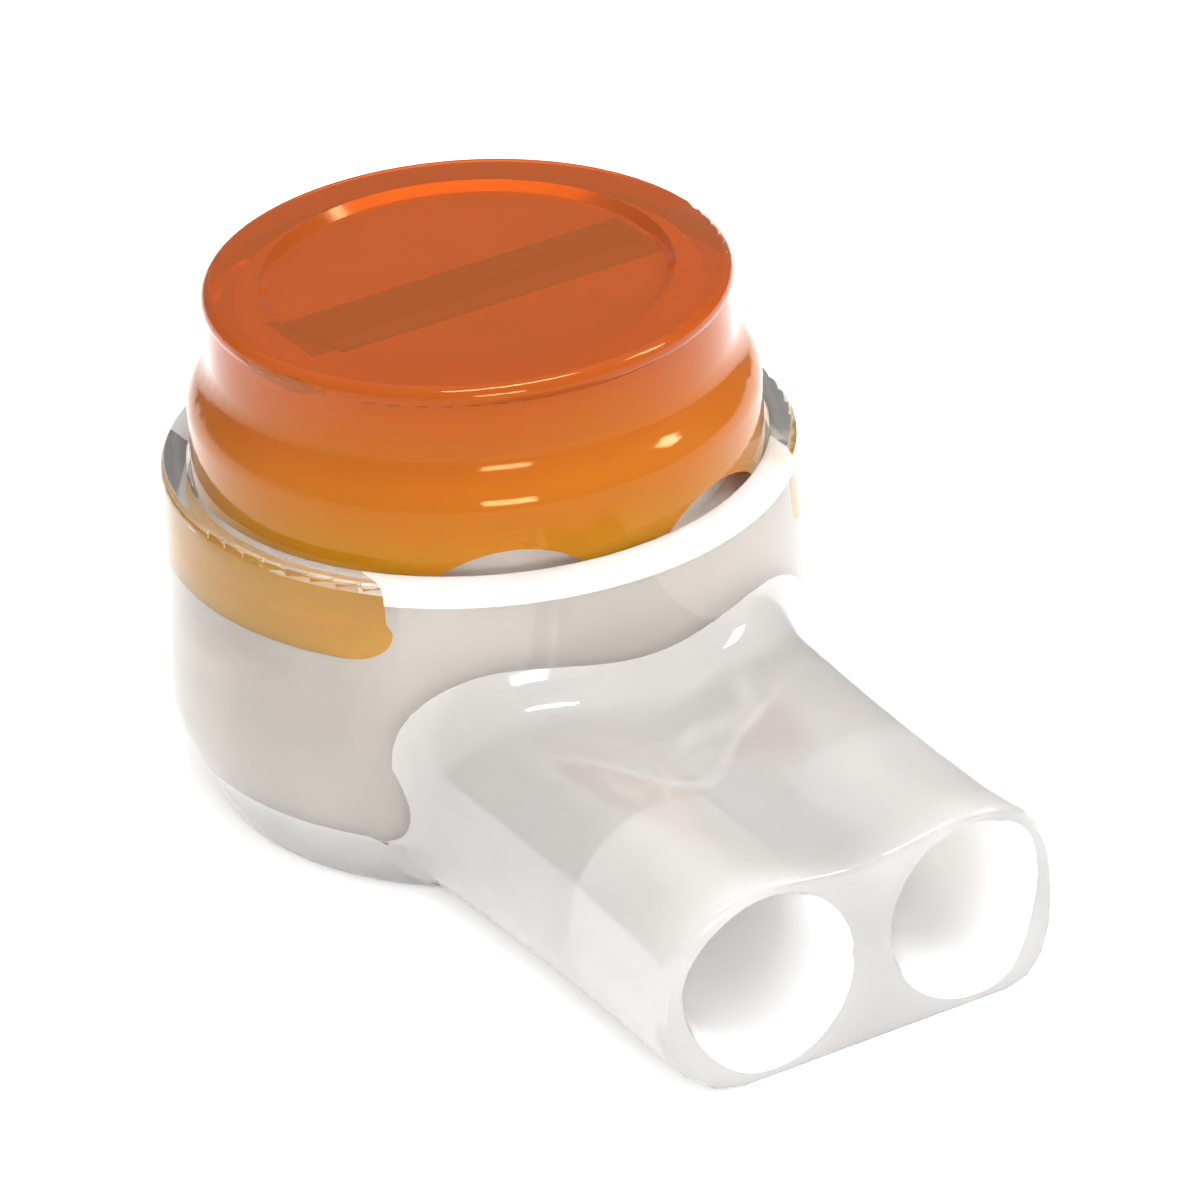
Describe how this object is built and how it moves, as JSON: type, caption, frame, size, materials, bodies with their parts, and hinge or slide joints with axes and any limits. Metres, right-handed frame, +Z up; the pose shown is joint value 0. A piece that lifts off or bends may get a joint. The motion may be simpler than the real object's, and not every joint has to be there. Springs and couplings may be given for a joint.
{
  "type": "wire splice connector",
  "caption": "Push-button wire splice: a clear round cup with a flat twin-bore spout, an amber button above it, and a slotted contact inside that joins the wires when pressed.",
  "frame": {"origin": "on the cup's axis, in the plane of the flat underside", "axes": "+X along the spout, towards its mouths; +Z up, out of the button; Y across the two ports"},
  "size_m": [0.016, 0.0102, 0.0084],
  "materials": {
    "clear_plastic": "clear moulded plastic, glossy, faintly milky",
    "amber_plastic": "transparent amber moulded plastic, glossy",
    "tinned_metal": "tinned strip, satin, with a stamped edge",
    "gel": "soft clear gel, wet gloss"
  },
  "bodies": {
    "housing": {"body": "clear_plastic", "sealing_gel": "gel"},
    "button": {"button_cap": "amber_plastic", "contact": "tinned_metal"}
  },
  "joints": [
    {"name": "button_press", "type": "slide", "parent": "housing", "child": "button", "axis": [0, 0, -1], "range_m": [0, 0.0028]}
  ]
}
